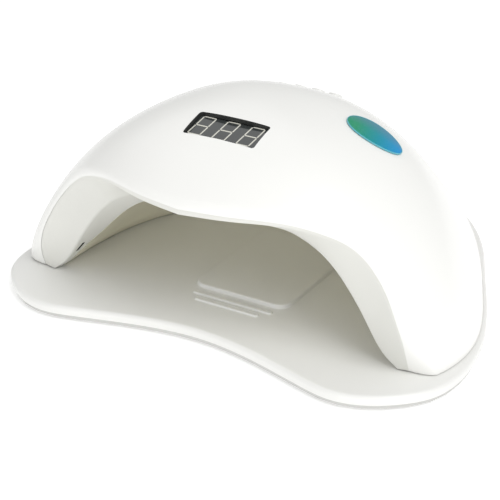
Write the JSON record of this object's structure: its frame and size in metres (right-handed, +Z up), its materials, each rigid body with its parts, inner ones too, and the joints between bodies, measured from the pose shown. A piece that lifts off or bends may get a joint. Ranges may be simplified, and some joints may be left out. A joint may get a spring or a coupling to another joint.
{
  "type": "uv curing lamp",
  "caption": "Domed desktop light for curing gel and resin: lift-off arched head with timer buttons and a display window over a flat lobed base plate.",
  "frame": {"origin": "on the table under the middle of the lamp's box", "axes": "+Z up, the opening for the hand faces -Y, +X to the right as seen from the front"},
  "size_m": [0.2234, 0.2029, 0.0954],
  "materials": {
    "plate_white": "satin",
    "tray_white": "satin",
    "foot_rubber": "matte",
    "disc_steel": "plated",
    "screw_steel": "plated",
    "cover_gloss": "high gloss",
    "bezel_white": "semi gloss",
    "liner_warm": "satin",
    "frame_warm": "matte",
    "window_smoke": "smoked, polished",
    "module_black": "matte",
    "board_green": "solder mask",
    "switch_black": "matte",
    "strip_white": "solder mask",
    "jack_black": "matte",
    "magnet_nickel": "nickel plated",
    "badge_blue": "gloss label",
    "wire_white": "insulation",
    "button_white": "satin"
  },
  "bodies": {
    "base": {"base_plate": "plate_white", "base_tray": "tray_white", "rubber_foot_front_left": "foot_rubber", "rubber_foot_front_right": "foot_rubber", "rubber_foot_rear_left": "foot_rubber", "rubber_foot_rear_right": "foot_rubber", "steel_disc_front_left": "disc_steel", "steel_disc_front_right": "disc_steel", "steel_disc_rear_left": "disc_steel", "steel_disc_rear_right": "disc_steel", "tray_screw_front_left": "screw_steel", "tray_screw_front_right": "screw_steel", "tray_screw_rear_left": "screw_steel", "tray_screw_rear_right": "screw_steel"},
    "head": {"top_cover": "cover_gloss", "front_bezel": "bezel_white", "inner_liner": "liner_warm", "bottom_frame": "frame_warm", "display_window": "window_smoke", "digit_module": "module_black", "control_board": "board_green", "switch_board": "board_green", "switch_10s": "switch_black", "switch_30s": "switch_black", "switch_60s": "switch_black", "switch_99s": "switch_black", "light_strip_front": "strip_white", "light_strip_middle": "strip_white", "light_strip_rear": "strip_white", "driver_board": "board_green", "dc_jack": "jack_black", "ir_window_left": "window_smoke", "sensor_board_left": "board_green", "ir_window_right": "window_smoke", "sensor_board_right": "board_green", "dock_magnet_front_left": "magnet_nickel", "dock_magnet_front_right": "magnet_nickel", "dock_magnet_rear_left": "magnet_nickel", "dock_magnet_rear_right": "magnet_nickel", "cover_screw_front_left": "screw_steel", "cover_screw_front_right": "screw_steel", "cover_screw_rear_left": "screw_steel", "cover_screw_rear_right": "screw_steel", "badge": "badge_blue", "wire_light": "wire_white", "wire_control": "wire_white", "wire_sensor_left": "wire_white", "wire_sensor_right": "wire_white"},
    "timer_10s": {"button_10s": "button_white"},
    "timer_30s": {"button_30s": "button_white"},
    "timer_60s": {"button_60s": "button_white"},
    "timer_99s": {"button_99s": "button_white"}
  },
  "joints": [
    {"name": "head_lift", "type": "slide", "parent": "base", "child": "head", "axis": [0, 0, 1], "range_m": [0, 0.06]},
    {"name": "press_10s", "type": "slide", "parent": "head", "child": "timer_10s", "axis": [0, -0.5547, -0.832], "range_m": [0, 0.0008], "stiffness_N_per_m": 400},
    {"name": "press_30s", "type": "slide", "parent": "head", "child": "timer_30s", "axis": [0, -0.5547, -0.832], "range_m": [0, 0.0008], "stiffness_N_per_m": 400},
    {"name": "press_60s", "type": "slide", "parent": "head", "child": "timer_60s", "axis": [0, -0.5547, -0.832], "range_m": [0, 0.0008], "stiffness_N_per_m": 400},
    {"name": "press_99s", "type": "slide", "parent": "head", "child": "timer_99s", "axis": [0, -0.5547, -0.832], "range_m": [0, 0.0008], "stiffness_N_per_m": 400}
  ]
}
